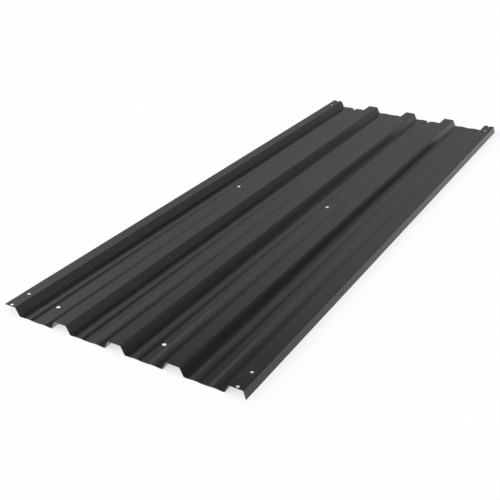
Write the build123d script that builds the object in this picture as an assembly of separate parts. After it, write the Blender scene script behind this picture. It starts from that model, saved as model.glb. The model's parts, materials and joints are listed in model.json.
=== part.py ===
from build123d import *
from math import atan2, sin
import os

# Trapezoidal steel sheet, rolled from one thin strip and lying on its pans.
# X runs across the ribs, Y along them and Z up. The origin is the middle of the
# sheet's footprint, on the surface that it lies on. Lengths are in millimetres.

# Strip
sheet_length = 1000.0
thickness = 0.5

# Rolled section, measured on its underside between sharp corners
rib_count = 4
rib_pitch = 84.65
rib_top_width = 18.2
rib_rise = 11.6
web_run = 5.85
inside_bend_radius = 0.6

# Side edges: the flat flange is lapped by the next sheet's lipped rib
flange_width = 17.6
lip_run = 3.3
lip_drop = 11.1

# Two shallow stiffening beads along each pan, gentler towards the webs than between them
first_bead_inset = 4.9
second_bead_inset = 4.0
bead_outer_ramp_run = 7.6
bead_crown_width = 5.4
bead_inner_ramp_run = 5.3
bead_rise = 0.7
bead_bend_radius = 12.0

# Fixing holes in the flange and the lipped rib: a pair near one end and one near the other
edge_hole_radius = 2.1
edge_hole_pair_pitch = 30.6
edge_hole_inset = 3.6
edge_far_hole_inset = 32.4

# Fixing holes in every second pan, between its beads
pan_hole_radius = 2.75
pan_hole_inset = 42.0
pans_per_hole_row = 2

# Open notches in the far end, in line with the rows of holes
edge_notch_width = 4.0
edge_notch_depth = 4.8
pan_notch_width = 4.4
pan_notch_depth = 8.4

# How far a cut runs past the sheet's faces
cut_overrun = 2.0

# Sizes that follow from the ones above
pan_width = rib_pitch - rib_top_width - 2 * web_run
bead_base_width = bead_outer_ramp_run + bead_crown_width + bead_inner_ramp_run
lip_thickness_run = thickness * sin(atan2(lip_drop, lip_run))
sheet_width = flange_width + rib_count * rib_pitch + lip_run + lip_thickness_run
left_edge = -sheet_width / 2
near_end = -sheet_length / 2
far_end = sheet_length / 2
outside_bend_radius = inside_bend_radius + thickness
punch_height = rib_rise + thickness + 2 * cut_overrun


def pan_start(index):
    """X of the foot where a pan begins, counted from the flange."""
    return left_edge + flange_width + web_run + index * rib_pitch


def bead_corners(start, rising_run, falling_run):
    """Underside corners of one bead whose base begins at the given X."""
    crown_start = start + rising_run
    crown_end = crown_start + bead_crown_width
    return [(start, 0), (crown_start, bead_rise), (crown_end, bead_rise), (crown_end + falling_run, 0)]


def pan_corners(start):
    """Underside corners of a pan, from foot to foot, with a bead near each side."""
    end = start + pan_width
    second_start = end - second_bead_inset - bead_base_width
    first_bead = bead_corners(start + first_bead_inset, bead_outer_ramp_run, bead_inner_ramp_run)
    second_bead = bead_corners(second_start, bead_inner_ramp_run, bead_outer_ramp_run)
    return [(start, 0)] + first_bead + second_bead + [(end, 0)]


def section_face():
    """The strip's cross-section: the underside line thickened upwards."""
    corners = [(left_edge, rib_rise), (left_edge + flange_width, rib_rise)]
    radii = [inside_bend_radius]
    for index in range(rib_count):
        pan = pan_corners(pan_start(index))
        corners += pan
        radii += [outside_bend_radius] + [bead_bend_radius] * (len(pan) - 2) + [outside_bend_radius]
        rib_start = pan[-1][0] + web_run
        corners += [(rib_start, rib_rise), (rib_start + rib_top_width, rib_rise)]
        radii += [inside_bend_radius] * 2
    lip_start = corners[-1][0]
    corners.append((lip_start + lip_run, rib_rise - lip_drop))
    underside = Wire(FilletPolyline(*corners, radius=radii).edges())
    return make_face(underside.offset_2d(thickness, side=Side.LEFT).edges())


def edge_row_xs():
    """X of the rows of holes along the flange and the lipped rib."""
    flange_middle = left_edge + flange_width / 2
    return [flange_middle, flange_middle + rib_count * rib_pitch]


def pan_row_xs():
    """X of the rows of holes along the middle of every second pan."""
    return [pan_start(index) + pan_width / 2 for index in range(0, rib_count, pans_per_hole_row)]


def round_punches(row_xs, row_ys, radius):
    """Upright round punches at every crossing of the given rows."""
    upright = (Align.CENTER, Align.CENTER, Align.MIN)
    punch = Pos(0, 0, -cut_overrun) * Cylinder(radius, punch_height, align=upright)
    return [Pos(x, y, 0) * punch for x in row_xs for y in row_ys]


def notch_punches(row_xs, width, depth):
    """Upright punches with a round inner end that run out past the far end of the sheet."""
    inner_centre = far_end - depth + width / 2
    outer_centre = far_end + cut_overrun
    outline = SlotCenterToCenter(outer_centre - inner_centre, width, rotation=90)
    punch = extrude(Pos(0, (inner_centre + outer_centre) / 2, -cut_overrun) * outline, amount=punch_height)
    return [Pos(x, 0, 0) * punch for x in row_xs]


def profiled_sheet():
    """The rolled strip, cut to length and punched for its fixings."""
    near_edge_hole = near_end + edge_hole_inset
    edge_ys = [near_edge_hole, near_edge_hole + edge_hole_pair_pitch, far_end - edge_far_hole_inset]
    pan_ys = [near_end + pan_hole_inset, 0]
    strip = extrude(Plane.XZ * section_face(), amount=sheet_length / 2, both=True)
    strip -= round_punches(edge_row_xs(), edge_ys, edge_hole_radius)
    strip -= round_punches(pan_row_xs(), pan_ys, pan_hole_radius)
    strip -= notch_punches(edge_row_xs(), edge_notch_width, edge_notch_depth)
    strip -= notch_punches(pan_row_xs(), pan_notch_width, pan_notch_depth)
    return strip


os.makedirs("parts", exist_ok=True)
export_step(profiled_sheet(), "parts/profiled_sheet.step")
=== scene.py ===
"""Dresses a trapezoidal steel sheet: its rolled and punched skin, its coats and a plain studio round it.

Sizes in the classes are millimetres and meshes are metres. X runs across the ribs, Y along them and Z up.
"""

import json
import logging
import math
from dataclasses import dataclass, field
from enum import IntEnum

import bpy
import numpy as np
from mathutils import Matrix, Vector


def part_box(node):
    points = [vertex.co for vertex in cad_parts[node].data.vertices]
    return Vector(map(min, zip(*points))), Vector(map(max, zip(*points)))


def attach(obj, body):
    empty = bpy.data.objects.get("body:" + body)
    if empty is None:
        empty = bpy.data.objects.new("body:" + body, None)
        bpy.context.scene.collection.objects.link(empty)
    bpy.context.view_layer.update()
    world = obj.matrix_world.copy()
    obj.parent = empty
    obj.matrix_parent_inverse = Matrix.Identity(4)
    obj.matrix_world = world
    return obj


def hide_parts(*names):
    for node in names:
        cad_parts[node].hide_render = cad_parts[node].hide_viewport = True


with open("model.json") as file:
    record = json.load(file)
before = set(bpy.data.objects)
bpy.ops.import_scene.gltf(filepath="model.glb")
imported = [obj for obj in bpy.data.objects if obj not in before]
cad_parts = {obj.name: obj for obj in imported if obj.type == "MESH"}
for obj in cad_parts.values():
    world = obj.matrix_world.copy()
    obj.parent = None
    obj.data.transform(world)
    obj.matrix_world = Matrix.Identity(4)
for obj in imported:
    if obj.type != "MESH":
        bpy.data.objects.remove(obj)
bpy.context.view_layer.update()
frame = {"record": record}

MM = 0.001
SHEET_NODE = "profiled_sheet"
NOISE_SPAN = (0.3, 0.7)  # where most values of a noise texture lie
MIX_FACTOR, MIX_FIRST, MIX_SECOND, MIX_RESULT = 0, 6, 7, 2  # a Mix node's sockets for colours
log = logging.getLogger("sheet")


class Coat(IntEnum):
    """Material slots of the sheet's mesh."""

    FACE = 0
    BACK = 1
    EDGE = 2


def linear(colour: str) -> tuple[float, float, float, float]:
    """Turns an sRGB hex colour to linear light.

    Args:
        colour: six hex digits after a hash sign.

    Returns:
        Red, green, blue and an alpha of one.
    """
    shares = [int(colour[i : i + 2], 16) / 255 for i in (1, 3, 5)]
    return (*(c / 12.92 if c <= 0.04045 else ((c + 0.055) / 1.055) ** 2.4 for c in shares), 1.0)


def per_metre(size_mm: float) -> float:
    """Gives the texture scale at which one feature of a pattern measures the given millimetres."""
    return 1 / (size_mm * MM)


def add_node(
    tree: bpy.types.NodeTree,
    kind: str,
    settings: dict[str, object] | None = None,
    inputs: dict[str | int, object] | None = None,
) -> bpy.types.Node:
    """Adds a node, sets it up and links it.

    Args:
        tree: the node tree that takes it.
        kind: the node's type name.
        settings: values of the node's own properties.
        inputs: for each input, its value or the output socket that feeds it.

    Returns:
        The new node.
    """
    node = tree.nodes.new(kind)
    for name, value in (settings or {}).items():
        setattr(node, name, value)
    for name, value in (inputs or {}).items():
        if isinstance(value, bpy.types.NodeSocket):
            tree.links.new(value, node.inputs[name])
        else:
            node.inputs[name].default_value = value
    return node


def new_material(name: str) -> tuple[bpy.types.Material, bpy.types.NodeTree]:
    """Starts a material with an empty node tree.

    Args:
        name: what the material is called.

    Returns:
        The material and its tree.
    """
    material = bpy.data.materials.new(name)
    material.use_nodes = True
    material.node_tree.nodes.clear()
    return material, material.node_tree


def read_all(items: bpy.types.bpy_prop_collection, name: str, width: int, kind: type) -> np.ndarray:
    """Copies one property of all of a mesh's points, corners or faces.

    Args:
        items: the points, corners or faces.
        name: the property's name.
        width: how many numbers it holds.
        kind: the type of those numbers.

    Returns:
        A row for each item.
    """
    values = np.zeros(len(items) * width, dtype=kind)
    items.foreach_get(name, values)
    return values.reshape(-1, width)


def new_object(name: str, data: bpy.types.ID) -> bpy.types.Object:
    """Puts a mesh or a camera into the scene.

    Args:
        name: the object's name.
        data: what the object shows.

    Returns:
        The new object.
    """
    made = bpy.data.objects.new(name, data)
    bpy.context.scene.collection.objects.link(made)
    return made


@dataclass(frozen=True)
class RollerCoat:
    """Paint that rollers laid on the flat strip and an oven baked, before the ribs were formed."""

    name: str
    dark: str
    light: str
    ior: float
    roughness_low: float
    roughness_high: float
    cloud_size: float
    line_width: float
    line_length: float
    grain_size: float
    grain_height: float
    cloud_detail: float = 3.0
    fine_detail: float = 2.0

    def material(self) -> bpy.types.Material:
        """Makes the paint.

        Returns:
            The material.
        """
        # The eye gets faint clouds, faint lines along the strip from the rollers and a fine grain.
        material, tree = new_material(self.name)
        place = add_node(tree, "ShaderNodeTexCoord").outputs["Object"]
        clouds = add_node(
            tree,
            "ShaderNodeTexNoise",
            inputs={"Vector": place, "Scale": per_metre(self.cloud_size), "Detail": self.cloud_detail},
        )
        across, along = per_metre(self.line_width), per_metre(self.line_length)
        stretched = add_node(
            tree,
            "ShaderNodeVectorMath",
            {"operation": "MULTIPLY"},
            {0: place, 1: (across, along, across)},
        )
        lines = add_node(
            tree,
            "ShaderNodeTexNoise",
            inputs={"Vector": stretched.outputs["Vector"], "Scale": 1.0, "Detail": self.fine_detail},
        )
        # The matting agent's real grain is some hundredths of a millimetre, so it is drawn coarser to show.
        grain = add_node(
            tree,
            "ShaderNodeTexNoise",
            inputs={"Vector": place, "Scale": per_metre(self.grain_size), "Detail": self.fine_detail},
        )
        colour = add_node(
            tree,
            "ShaderNodeMix",
            {"data_type": "RGBA"},
            {
                MIX_FACTOR: clouds.outputs["Fac"],
                MIX_FIRST: linear(self.dark),
                MIX_SECOND: linear(self.light),
            },
        )
        roughness = add_node(
            tree,
            "ShaderNodeMapRange",
            inputs={
                "Value": lines.outputs["Fac"],
                "From Min": NOISE_SPAN[0],
                "From Max": NOISE_SPAN[1],
                "To Min": self.roughness_low,
                "To Max": self.roughness_high,
            },
        )
        bump = add_node(
            tree,
            "ShaderNodeBump",
            inputs={"Height": grain.outputs["Fac"], "Strength": 1.0, "Distance": self.grain_height * MM},
        )
        shader = add_node(
            tree,
            "ShaderNodeBsdfPrincipled",
            inputs={
                "Base Color": colour.outputs[MIX_RESULT],
                "Roughness": roughness.outputs["Result"],
                "IOR": self.ior,
                "Normal": bump.outputs["Normal"],
            },
        )
        add_node(tree, "ShaderNodeOutputMaterial", inputs={"Surface": shader.outputs["BSDF"]})
        return material


@dataclass(frozen=True)
class PolyesterCoat(RollerCoat):
    """Satin polyester paint on the face."""

    # The eye gets a near-black face. Most of its grey is a soft mirror image of the room.
    name: str = "satin_polyester_coat"
    dark: str = "#1d1d1d"
    light: str = "#212121"
    ior: float = 1.5
    roughness_low: float = 0.245
    roughness_high: float = 0.255
    cloud_size: float = 45.0
    line_width: float = 5.0
    line_length: float = 420.0
    grain_size: float = 2.4
    grain_height: float = 0.004


@dataclass(frozen=True)
class BackingCoat(RollerCoat):
    """Thin epoxy primer that protects the underside."""

    # The eye gets a dull pale grey, cloudy and lined where the thin coat runs thinner.
    name: str = "pale_epoxy_primer"
    dark: str = "#dcddd8"
    light: str = "#e6e7e2"
    ior: float = 1.5
    roughness_low: float = 0.44
    roughness_high: float = 0.56
    cloud_size: float = 30.0
    line_width: float = 4.0
    line_length: float = 300.0
    grain_size: float = 1.6
    grain_height: float = 0.01


@dataclass(frozen=True)
class ShearedSteel:
    """Galvanised steel, bare where the shear and the punch cut it."""

    name: str = "sheared_galvanised_steel"
    dark: str = "#55585a"
    light: str = "#84888b"
    roughness_low: float = 0.4
    roughness_high: float = 0.6
    tear_size: float = 1.5
    tear_detail: float = 2.0
    tear_depth: float = 0.02

    def material(self) -> bpy.types.Material:
        """Makes the cut edge.

        Returns:
            The material.
        """
        # The eye gets a dull grey line, uneven where the steel tore at the end of the cut.
        material, tree = new_material(self.name)
        place = add_node(tree, "ShaderNodeTexCoord").outputs["Object"]
        tears = add_node(
            tree,
            "ShaderNodeTexNoise",
            inputs={"Vector": place, "Scale": per_metre(self.tear_size), "Detail": self.tear_detail},
        )
        colour = add_node(
            tree,
            "ShaderNodeMix",
            {"data_type": "RGBA"},
            {
                MIX_FACTOR: tears.outputs["Fac"],
                MIX_FIRST: linear(self.dark),
                MIX_SECOND: linear(self.light),
            },
        )
        roughness = add_node(
            tree,
            "ShaderNodeMapRange",
            inputs={
                "Value": tears.outputs["Fac"],
                "To Min": self.roughness_high,
                "To Max": self.roughness_low,
            },
        )
        bump = add_node(
            tree,
            "ShaderNodeBump",
            inputs={"Height": tears.outputs["Fac"], "Strength": 1.0, "Distance": self.tear_depth * MM},
        )
        shader = add_node(
            tree,
            "ShaderNodeBsdfPrincipled",
            inputs={
                "Base Color": colour.outputs[MIX_RESULT],
                "Metallic": 1.0,
                "Roughness": roughness.outputs["Result"],
                "Normal": bump.outputs["Normal"],
            },
        )
        add_node(tree, "ShaderNodeOutputMaterial", inputs={"Surface": shader.outputs["BSDF"]})
        return material


@dataclass(frozen=True)
class RolledSection:
    """The strip's section, measured on its underside between sharp corners."""

    left_edge: float
    rib_rise: float
    thickness: float = 0.5
    rib_count: int = 4
    rib_pitch: float = 84.65
    rib_top_width: float = 18.2
    web_run: float = 5.85
    bend_radius: float = 0.6
    flange_width: float = 17.6
    lip_run: float = 3.3
    lip_drop: float = 11.1
    first_bead_inset: float = 4.9
    second_bead_inset: float = 4.0
    bead_outer_ramp_run: float = 7.6
    bead_crown_width: float = 5.4
    bead_inner_ramp_run: float = 5.3
    bead_rise: float = 0.7
    bead_bend_radius: float = 12.0
    longest_facet: float = 9.0
    bend_facet_angle: float = 8.0

    @property
    def pan_width(self) -> float:
        """Width of a pan between its feet."""
        return self.rib_pitch - self.rib_top_width - 2 * self.web_run

    @property
    def bead_base_width(self) -> float:
        """Width of a bead over both of its ramps."""
        return self.bead_outer_ramp_run + self.bead_crown_width + self.bead_inner_ramp_run

    def bead_corners(self, start: float, rising: float, falling: float) -> list[tuple[float, float, float]]:
        """Lists the corners of one bead.

        Args:
            start: X where its base begins.
            rising: run of the ramp up to its crown.
            falling: run of the ramp down from its crown.

        Returns:
            X, Z and bend radius of each corner.
        """
        crown_start = start + rising
        crown_end = crown_start + self.bead_crown_width
        return [
            (start, 0.0, self.bead_bend_radius),
            (crown_start, self.bead_rise, self.bead_bend_radius),
            (crown_end, self.bead_rise, self.bead_bend_radius),
            (crown_end + falling, 0.0, self.bead_bend_radius),
        ]

    def corners(self) -> list[tuple[float, float, float]]:
        """Lists the underside's corners from the flange to the lip.

        Returns:
            X, Z and bend radius of each corner.
        """
        foot_radius = self.bend_radius + self.thickness
        flange_end = self.left_edge + self.flange_width
        found = [(self.left_edge, self.rib_rise, 0.0), (flange_end, self.rib_rise, self.bend_radius)]
        for _ in range(self.rib_count):
            start = found[-1][0] + self.web_run
            end = start + self.pan_width
            first = start + self.first_bead_inset
            second = end - self.second_bead_inset - self.bead_base_width
            found.append((start, 0.0, foot_radius))
            found += self.bead_corners(first, self.bead_outer_ramp_run, self.bead_inner_ramp_run)
            found += self.bead_corners(second, self.bead_inner_ramp_run, self.bead_outer_ramp_run)
            found.append((end, 0.0, foot_radius))
            found.append((end + self.web_run, self.rib_rise, self.bend_radius))
            found.append((end + self.web_run + self.rib_top_width, self.rib_rise, self.bend_radius))
        found.append((found[-1][0] + self.lip_run, self.rib_rise - self.lip_drop, 0.0))
        return found

    def underside(self) -> np.ndarray:
        """Follows the underside through its flats and bends.

        Returns:
            A row for each point: X, Z and heading in radians.
        """
        corners = np.array(self.corners())
        points, radii = corners[:, :2], corners[:, 2]
        spans = np.diff(points, axis=0)
        headings = np.arctan2(spans[:, 1], spans[:, 0])
        turns = np.concatenate([[0.0], np.diff(headings), [0.0]])
        trims = radii * np.tan(np.abs(turns) / 2)
        rows = []
        for i, (span, heading) in enumerate(zip(spans, headings)):
            length = math.hypot(*span)
            pieces = math.ceil((length - trims[i] - trims[i + 1]) / self.longest_facet)
            for run in np.linspace(trims[i], length - trims[i + 1], pieces + 1):
                rows.append((*(points[i] + span / length * run), heading))
            bend_start = points[i + 1] - span / length * trims[i + 1]
            turn = turns[i + 1]
            bend_pieces = math.ceil(abs(turn) / math.radians(self.bend_facet_angle))
            for turned in np.linspace(0, turn, bend_pieces + 1)[1:-1]:
                chord = 2 * radii[i + 1] * math.sin(abs(turned) / 2)
                towards = heading + turned / 2
                step = chord * np.array([math.cos(towards), math.sin(towards)])
                rows.append((*(bend_start + step), heading + turned))
        return np.array(rows)

    def face(self, underside: np.ndarray) -> np.ndarray:
        """Offsets the underside by the strip's thickness.

        Args:
            underside: rows of X, Z and heading.

        Returns:
            The same rows on the painted face.
        """
        x, z, heading = underside.T
        return np.stack(
            [x - self.thickness * np.sin(heading), z + self.thickness * np.cos(heading), heading], axis=1
        )


@dataclass(frozen=True)
class Notch:
    """An open notch in the far end, round inside."""

    width: float
    depth: float


@dataclass(frozen=True)
class Punch:
    """One punch: the middle of its round end, its radius, its run along Y and the face's height there."""

    x: float
    y: float
    radius: float
    run: float
    top: float


@dataclass(frozen=True)
class Punching:
    """The fixing holes and end notches, with the paint drawn down a little round each one."""

    notches: dict[str, Notch] = field(
        default_factory=lambda: {"pan_fixings": Notch(4.4, 8.4), "edge_fixings": Notch(4.0, 4.8)}
    )
    draw_down: float = 0.15
    facets: int = 48
    ring_decimals: int = 6
    overrun: float = 3.0

    def punches(self, thickness: float, far_end: float) -> list[Punch]:
        """Lists the holes that the record's bolt patterns give, and the notches that end their rows.

        Args:
            thickness: of the strip.
            far_end: Y of the end with the notches.

        Returns:
            The punches.
        """
        found = []
        for mount in frame["record"]["mounts"]:
            if mount["kind"] != "bolt_pattern":
                continue
            sizes = mount["dims"]
            x, y, z = (value / MM for value in mount["pos_m"])
            half_y = sizes.get("spacing_y_mm", 0.0) / 2
            notch = self.notches.get(mount["name"])
            top = z + thickness / 2
            for side in (-1, 1):
                row = x + side * sizes["spacing_x_mm"] / 2
                for place in sorted({y - half_y, y + half_y}):
                    found.append(Punch(row, place, sizes["hole_r_mm"], 0.0, top))
                if notch:
                    inner = far_end - notch.depth + notch.width / 2
                    found.append(Punch(row, inner, notch.width / 2, notch.depth, top))
        return found

    def outline(self, punch: Punch, thickness: float) -> list[tuple[float, float, Coat]]:
        """Draws the side of what a punch cuts away.

        Args:
            punch: the punch.
            thickness: of the strip.

        Returns:
            Radius and Z of each corner from the bottom up, and the coat of the wall above it.
        """
        # Half way round the rim, which is a quarter of a circle
        middle = self.draw_down * (1 - math.sin(math.pi / 4))
        return [
            (punch.radius, punch.top - thickness - self.overrun, Coat.EDGE),
            (punch.radius, punch.top - self.draw_down, Coat.FACE),
            (punch.radius + middle, punch.top - middle, Coat.FACE),
            (punch.radius + self.draw_down, punch.top, Coat.FACE),
            (punch.radius + self.draw_down, punch.top + self.overrun, Coat.EDGE),
        ]

    def cutter(self, thickness: float, far_end: float) -> bpy.types.Object:
        """Makes all the punches as one mesh.

        Args:
            thickness: of the strip.
            far_end: Y of the end with the notches.

        Returns:
            The cutter.
        """
        turns = 2 * math.pi * np.arange(self.facets) / self.facets
        # Rounded, so that the two points level with the middle belong to the round end.
        ring = np.stack([np.cos(turns), np.sin(turns)], axis=1).round(self.ring_decimals)
        points, faces, coats = [], [], []
        for punch in self.punches(thickness, far_end):
            first = len(points)
            outline = self.outline(punch, thickness)
            for radius, z, _ in outline:
                for c, s in ring:
                    points.append((punch.x + radius * c, punch.y + radius * s + punch.run * (s > 0), z))
            for level, (_, _, coat) in enumerate(outline[:-1]):
                low = first + level * self.facets
                for i in range(self.facets):
                    j = (i + 1) % self.facets
                    faces.append((low + i, low + j, low + self.facets + j, low + self.facets + i))
                    coats.append(coat)
            last = first + (len(outline) - 1) * self.facets
            faces.append(tuple(range(first + self.facets - 1, first - 1, -1)))
            faces.append(tuple(range(last, last + self.facets)))
            coats += [Coat.EDGE, Coat.EDGE]
        mesh = bpy.data.meshes.new("punches")
        mesh.from_pydata([tuple(c * MM for c in p) for p in points], [], faces)
        mesh.polygons.foreach_set("material_index", coats)
        return new_object("punches", mesh)


@dataclass(frozen=True)
class Waviness:
    """The slight waves that a thin strip keeps after rolling, so that its flats are never quite flat."""

    height: float = 0.05
    lengths: tuple[float, ...] = (310.0, 187.0, 121.0)
    widths: tuple[float, ...] = (-260.0, 143.0, -97.0)

    @property
    def tallest(self) -> float:
        """The most that the waves raise the strip, where all of them meet."""
        return self.height * len(self.lengths)

    def lift(self, x: np.ndarray, y: np.ndarray) -> tuple[np.ndarray, np.ndarray, np.ndarray]:
        """Works out how far the waves raise the strip.

        Args:
            x: places across the ribs.
            y: places along the ribs.

        Returns:
            The rise, which is never below zero, and its slopes along X and Y.
        """
        rise, slope_x, slope_y = np.zeros_like(x), np.zeros_like(x), np.zeros_like(x)
        for length, width in zip(self.lengths, self.widths):
            phase = 2 * math.pi * (x / width + y / length)
            rise += self.height / 2 * (1 + np.sin(phase))
            slope_x += self.height / 2 * np.cos(phase) * 2 * math.pi / width
            slope_y += self.height / 2 * np.cos(phase) * 2 * math.pi / length
        return rise, slope_x, slope_y


@dataclass
class ProfiledSheet:
    """The whole sheet: a rolled strip, cut to length, punched and coated."""

    section: RolledSection
    near_end: float
    far_end: float
    punching: Punching = Punching()
    waviness: Waviness = Waviness()
    face_coat: PolyesterCoat = PolyesterCoat()
    back_coat: BackingCoat = BackingCoat()
    cut_edge: ShearedSteel = ShearedSteel()
    longest_step: float = 12.5
    sharpest_smooth_angle: float = 9.0

    @classmethod
    def from_frame(cls) -> "ProfiledSheet":
        """Takes the sheet's outer sizes from the frame.

        Returns:
            The sheet.
        """
        low, high = (np.array(corner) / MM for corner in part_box(SHEET_NODE))
        section = RolledSection(left_edge=low[0], rib_rise=high[2] - low[2] - RolledSection.thickness)
        return cls(section=section, near_end=low[1], far_end=high[1])

    def strip(self) -> bpy.types.Object:
        """Rolls the strip as a closed mesh with square ends.

        Returns:
            The strip, without holes.
        """
        underside = self.section.underside()
        sides = [underside, self.section.face(underside)]
        steps = math.ceil((self.far_end - self.near_end) / self.longest_step)
        stations = np.linspace(self.near_end, self.far_end, steps + 1)
        columns, rows = len(underside), len(stations)
        points = np.zeros((2, rows, columns, 3))
        for side, line in enumerate(sides):
            points[side, :, :, 0] = line[:, 0]
            points[side, :, :, 1] = stations[:, None]
            points[side, :, :, 2] = line[:, 1]
        index = np.arange(2 * rows * columns).reshape(2, rows, columns)
        back, face = index

        def quads(a: np.ndarray, b: np.ndarray, c: np.ndarray, d: np.ndarray) -> np.ndarray:
            """Pairs four grids of corners into faces."""
            return np.stack([a, b, c, d], axis=-1).reshape(-1, 4)

        painted = quads(face[:-1, :-1], face[:-1, 1:], face[1:, 1:], face[1:, :-1])
        primed = quads(back[:-1, :-1], back[1:, :-1], back[1:, 1:], back[:-1, 1:])
        cuts = np.concatenate(
            [
                quads(back[0, :-1], back[0, 1:], face[0, 1:], face[0, :-1]),
                quads(back[-1, 1:], back[-1, :-1], face[-1, :-1], face[-1, 1:]),
                quads(back[1:, 0], back[:-1, 0], face[:-1, 0], face[1:, 0]),
                quads(back[:-1, -1], back[1:, -1], face[1:, -1], face[:-1, -1]),
            ]
        )
        faces = np.concatenate([painted, primed, cuts])
        coats = np.repeat([Coat.FACE, Coat.BACK, Coat.EDGE], [len(painted), len(primed), len(cuts)])
        mesh = bpy.data.meshes.new("coated_sheet")
        mesh.from_pydata((points.reshape(-1, 3) * MM).tolist(), [], faces.tolist())
        mesh.polygons.foreach_set("material_index", coats.astype(np.int32))
        return new_object("coated_sheet", mesh)

    def dress(self, *meshes: bpy.types.Mesh) -> None:
        """Coats the sheet.

        Args:
            meshes: the strip and the punches, whose faces name their coats by slot.
        """
        finishes = {Coat.FACE: self.face_coat, Coat.BACK: self.back_coat, Coat.EDGE: self.cut_edge}
        for coat in Coat:
            material = finishes[coat].material()
            for mesh in meshes:
                mesh.materials.append(material)

    def punch(self, strip: bpy.types.Object, punches: bpy.types.Object) -> None:
        """Cuts the holes and notches into the strip.

        Args:
            strip: the strip, whose mesh is replaced.
            punches: the punches, which are used up.
        """
        cut = strip.modifiers.new("holes", "BOOLEAN")
        cut.object = punches
        cut.operation = "DIFFERENCE"
        cut.solver = "EXACT"
        cut.material_mode = "INDEX"
        whole = strip.data
        punched = strip.evaluated_get(bpy.context.evaluated_depsgraph_get())
        strip.data = bpy.data.meshes.new_from_object(punched)
        strip.modifiers.clear()
        bpy.data.meshes.remove(whole)
        bpy.data.meshes.remove(punches.data)

    def settle(self, strip: bpy.types.Object) -> None:
        """Raises the waves in the strip and gives its flats and bends their true normals.

        Args:
            strip: the punched strip.
        """
        mesh = strip.data
        points = read_all(mesh.vertices, "co", 3, np.float64) / MM
        corners = read_all(mesh.loops, "vertex_index", 1, np.int32).ravel()
        corner_counts = read_all(mesh.polygons, "loop_total", 1, np.int32).ravel()
        flat = np.repeat(read_all(mesh.polygons, "normal", 3, np.float64), corner_counts, axis=0)
        rise, slope_x, slope_y = self.waviness.lift(points[:, 0], points[:, 1])
        # The ribs sink by as much as the waves may raise them, so that the sheet keeps its height.
        rib_heights = (self.section.thickness, self.section.rib_rise)
        sunk = np.interp(points[:, 2], rib_heights, (0.0, self.waviness.tallest))
        underside = self.section.underside()
        smooth = np.zeros_like(flat)
        for side, line in ((1, self.section.face(underside)), (-1, underside)):
            chosen = flat[:, 2] * side > 0
            heading = np.interp(points[corners[chosen], 0], line[:, 0], line[:, 2])
            tilt_x = np.tan(heading) + slope_x[corners[chosen]]
            tilt_y = slope_y[corners[chosen]]
            smooth[chosen] = side * np.stack([-tilt_x, -tilt_y, np.ones_like(tilt_x)], axis=1)
        lengths = np.linalg.norm(smooth, axis=1, keepdims=True)
        smooth = np.divide(smooth, lengths, out=flat.copy(), where=lengths > 0)
        rounded = np.sum(smooth * flat, axis=1) > math.cos(math.radians(self.sharpest_smooth_angle))
        points[:, 2] += rise - sunk
        mesh.vertices.foreach_set("co", (points * MM).ravel())
        mesh.update()
        mesh.normals_split_custom_set(np.where(rounded[:, None], smooth, flat).tolist())

    def build(self) -> bpy.types.Object:
        """Rolls, coats, punches and settles the sheet and sets it on the frame.

        Returns:
            The sheet.
        """
        strip = self.strip()
        punches = self.punching.cutter(self.section.thickness, self.far_end)
        self.dress(strip.data, punches.data)
        self.punch(strip, punches)
        self.settle(strip)
        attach(strip, "root")
        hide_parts(SHEET_NODE)
        return strip


@dataclass(frozen=True)
class StudioFloor:
    """Matt white floor that runs out of sight."""

    name: str = "matt_white_floor"
    paint: str = "#a4a4a4"
    glow: float = 0.65
    radius: float = 45000.0
    facets: int = 64

    def material(self) -> bpy.types.Material:
        """Makes the floor's paint.

        Returns:
            The material.
        """
        # The eye gets a plain white that keeps soft shadows.
        # The glow only shows the floor as white, and lights nothing.
        material, tree = new_material(self.name)
        rays = add_node(tree, "ShaderNodeLightPath").outputs
        seen = add_node(
            tree,
            "ShaderNodeMath",
            {"operation": "MAXIMUM"},
            {0: rays["Is Camera Ray"], 1: rays["Is Glossy Ray"]},
        )
        shown = add_node(
            tree,
            "ShaderNodeMath",
            {"operation": "MAXIMUM"},
            {0: seen.outputs["Value"], 1: rays["Is Transmission Ray"]},
        )
        strength = add_node(
            tree, "ShaderNodeMath", {"operation": "MULTIPLY"}, {0: shown.outputs["Value"], 1: self.glow}
        )
        paint = add_node(tree, "ShaderNodeBsdfDiffuse", inputs={"Color": linear(self.paint)})
        glow = add_node(tree, "ShaderNodeEmission", inputs={"Strength": strength.outputs["Value"]})
        both = add_node(
            tree, "ShaderNodeAddShader", inputs={0: paint.outputs["BSDF"], 1: glow.outputs["Emission"]}
        )
        add_node(tree, "ShaderNodeOutputMaterial", inputs={"Surface": both.outputs["Shader"]})
        return material

    def build(self) -> bpy.types.Object:
        """Lays the floor.

        Returns:
            The floor.
        """
        turns = np.linspace(0, 2 * math.pi, self.facets, endpoint=False)
        rim = [(self.radius * MM * math.cos(t), self.radius * MM * math.sin(t), 0.0) for t in turns]
        mesh = bpy.data.meshes.new("studio_floor")
        mesh.from_pydata(rim, [], [tuple(range(self.facets))])
        mesh.materials.append(self.material())
        floor = new_object("studio_floor", mesh)
        return floor


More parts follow.
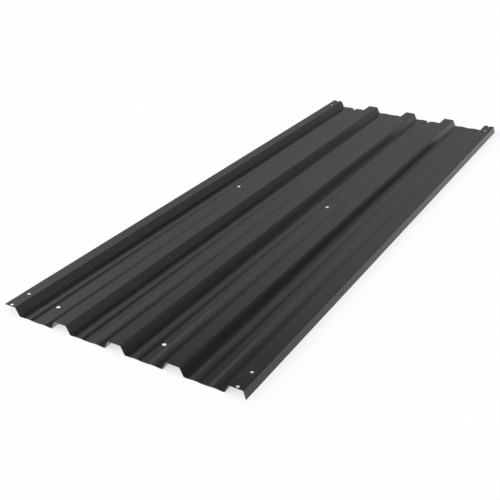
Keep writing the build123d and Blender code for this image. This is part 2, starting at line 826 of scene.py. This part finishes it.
@dataclass(frozen=True)
class SoftPanel:
    """A soft light far off, in degrees as seen from the sheet.

    Azimuth is from +Y towards +X and height from the horizon. The light is full within the first
    reach of its azimuth and gone by the second one. It grows between the two heights of its rise
    and goes out between the two heights of its fall.
    """

    azimuth: float
    reach: tuple[float, float]
    rise: tuple[float, float]
    fall: tuple[float, float]
    radiance: float

    def light(
        self, tree: bpy.types.NodeTree, level: bpy.types.NodeSocket, height: bpy.types.NodeSocket
    ) -> bpy.types.NodeSocket:
        """Adds the panel's nodes.

        Args:
            tree: the world's node tree.
            level: direction of view, laid level.
            height: its angle above the horizon in radians.

        Returns:
            The panel's radiance in that direction.
        """
        facing = math.radians(self.azimuth)
        cosine = add_node(
            tree,
            "ShaderNodeVectorMath",
            {"operation": "DOT_PRODUCT"},
            {0: level, 1: (math.sin(facing), math.cos(facing), 0.0)},
        )
        aside = add_node(tree, "ShaderNodeMath", {"operation": "ARCCOSINE"}, {0: cosine.outputs["Value"]})
        strength = self.radiance
        for value, (first, last) in (
            (aside.outputs["Value"], self.reach[::-1]),
            (height, self.rise),
            (height, self.fall[::-1]),
        ):
            edge = add_node(
                tree,
                "ShaderNodeMapRange",
                {"interpolation_type": "SMOOTHSTEP"},
                {"Value": value, "From Min": math.radians(first), "From Max": math.radians(last)},
            )
            share = add_node(
                tree, "ShaderNodeMath", {"operation": "MULTIPLY"}, {0: edge.outputs["Result"], 1: strength}
            )
            strength = share.outputs["Value"]
        return strength


@dataclass(frozen=True)
class Studio:
    """The soft light round the sheet."""

    gloom: float = 0.04
    horizon: SoftPanel = SoftPanel(
        azimuth=0, reach=(181, 182), rise=(-92, -91), fall=(2.2, 3.2), radiance=0.96
    )
    left_wall: SoftPanel = SoftPanel(
        azimuth=-55, reach=(21, 112), rise=(-6, 34), fall=(35, 36.5), radiance=0.595
    )
    left_window: SoftPanel = SoftPanel(
        azimuth=-75, reach=(10, 42), rise=(20, 34), fall=(34, 37), radiance=1.5
    )
    front_wall: SoftPanel = SoftPanel(
        azimuth=153, reach=(60, 170), rise=(2, 9), fall=(14, 19), radiance=1.1
    )
    front_key: SoftPanel = SoftPanel(
        azimuth=-140, reach=(20, 45), rise=(20, 28), fall=(40, 50), radiance=4.5
    )
    ceiling: SoftPanel = SoftPanel(
        azimuth=99, reach=(71, 131), rise=(35, 80), fall=(91, 92), radiance=2.8
    )

    def build(self) -> bpy.types.World:
        """Lights the world.

        Returns:
            The world.
        """
        world = bpy.data.worlds.new("soft_studio")
        world.use_nodes = True
        tree = world.node_tree
        tree.nodes.clear()
        direction = add_node(tree, "ShaderNodeTexCoord").outputs["Generated"]
        parts = add_node(tree, "ShaderNodeSeparateXYZ", inputs={"Vector": direction})
        height = add_node(tree, "ShaderNodeMath", {"operation": "ARCSINE"}, {0: parts.outputs["Z"]})
        flat = add_node(
            tree, "ShaderNodeVectorMath", {"operation": "MULTIPLY"}, {0: direction, 1: (1.0, 1.0, 0.0)}
        )
        level = add_node(
            tree, "ShaderNodeVectorMath", {"operation": "NORMALIZE"}, {0: flat.outputs["Vector"]}
        )
        walls = (self.horizon, self.left_wall, self.front_wall, self.ceiling)
        windows = (self.left_window, self.front_key)
        total = self.gloom
        for panel in (*walls, *windows):
            light = panel.light(tree, level.outputs["Vector"], height.outputs["Value"])
            both = add_node(tree, "ShaderNodeMath", {"operation": "ADD"}, {0: light, 1: total})
            total = both.outputs["Value"]
        background = add_node(
            tree, "ShaderNodeBackground", inputs={"Color": linear("#ffffff"), "Strength": total}
        )
        add_node(tree, "ShaderNodeOutputWorld", inputs={"Surface": background.outputs["Background"]})
        bpy.context.scene.world = world
        return world


@dataclass(frozen=True)
class ViewCamera:
    """The camera, looking down the sheet from beside its near end."""

    place: tuple[float, float, float] = (537.17, -1103.87, 557.70)
    turn_left: float = 30.259
    look_down: float = 27.890
    focal_length: float = 57.98
    film_width: float = 36.0

    def build(self) -> bpy.types.Object:
        """Sets up the camera.

        Returns:
            The camera.
        """
        data = bpy.data.cameras.new("view_camera")
        data.lens = self.focal_length
        data.sensor_width = self.film_width
        camera = new_object("view_camera", data)
        camera.location = [c * MM for c in self.place]
        camera.rotation_euler = (math.radians(90 - self.look_down), 0.0, math.radians(self.turn_left))
        bpy.context.scene.camera = camera
        return camera


def main() -> None:
    """Builds the sheet, then the studio round it."""
    logging.basicConfig(level=logging.INFO, format="%(name)s: %(message)s")
    bpy.context.scene.view_settings.view_transform = "Standard"
    sheet = ProfiledSheet.from_frame()
    skin = sheet.build()
    log.info("%s has %d faces", skin.name, len(skin.data.polygons))
    for piece in (StudioFloor(), Studio(), ViewCamera()):
        log.info("placed %s", piece.build().name)


if __name__ == "__main__":
    main()
